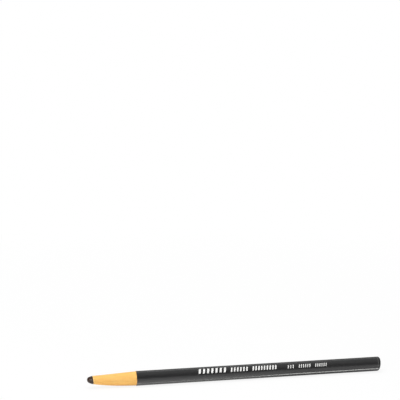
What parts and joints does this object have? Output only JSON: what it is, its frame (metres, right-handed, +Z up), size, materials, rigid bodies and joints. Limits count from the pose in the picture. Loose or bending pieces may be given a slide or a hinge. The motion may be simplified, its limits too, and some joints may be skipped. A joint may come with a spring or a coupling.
{
  "type": "china marker",
  "caption": "Round peel-off china marker: a black wax core in a tapered kraft paper wrapper with a black printed cover, a pull string and a lacquered back end.",
  "frame": {"origin": "middle of the marker's length, below its axis, on the surface that it lies on", "axes": "+X along the marker's axis from the wax point to the back end, +Z up"},
  "size_m": [0.178, 0.0086, 0.0086],
  "materials": {
    "wax": "waxy satin",
    "string": "twisted cotton",
    "kraft": "matte, fine fibres",
    "cover": "satin black print",
    "seal": "gloss lacquer"
  },
  "bodies": {
    "marker": {"wax_core": "wax", "wrap_stock": "kraft", "cover_stock": "cover", "end_seal": "seal"},
    "string": {"pull_string": "string"},
    "turn_1": {"wrap_turn_1": "kraft", "cover_turn_1": "cover"},
    "turn_2": {"wrap_turn_2": "kraft", "cover_turn_2": "cover"},
    "turn_3": {"wrap_turn_3": "kraft", "cover_turn_3": "cover"},
    "turn_4": {"wrap_turn_4": "kraft", "cover_turn_4": "cover"},
    "turn_5": {"wrap_turn_5": "kraft", "cover_turn_5": "cover"}
  },
  "joints": [
    {"name": "peel_5", "type": "slide", "parent": "marker", "child": "turn_5", "axis": [-1, 0, 0], "range_m": [0, 0.0662]},
    {"name": "peel_4", "type": "slide", "parent": "turn_5", "child": "turn_4", "axis": [-1, 0, 0], "range_m": [0, 0.0597]},
    {"name": "peel_3", "type": "slide", "parent": "turn_4", "child": "turn_3", "axis": [-1, 0, 0], "range_m": [0, 0.0532]},
    {"name": "peel_2", "type": "slide", "parent": "turn_3", "child": "turn_2", "axis": [-1, 0, 0], "range_m": [0, 0.0467]},
    {"name": "peel_1", "type": "slide", "parent": "turn_2", "child": "turn_1", "axis": [-1, 0, 0], "range_m": [0, 0.0402]},
    {"name": "string_pull", "type": "slide", "parent": "marker", "child": "string", "axis": [-1, 0, 0], "range_m": [0, 0.0325]}
  ]
}
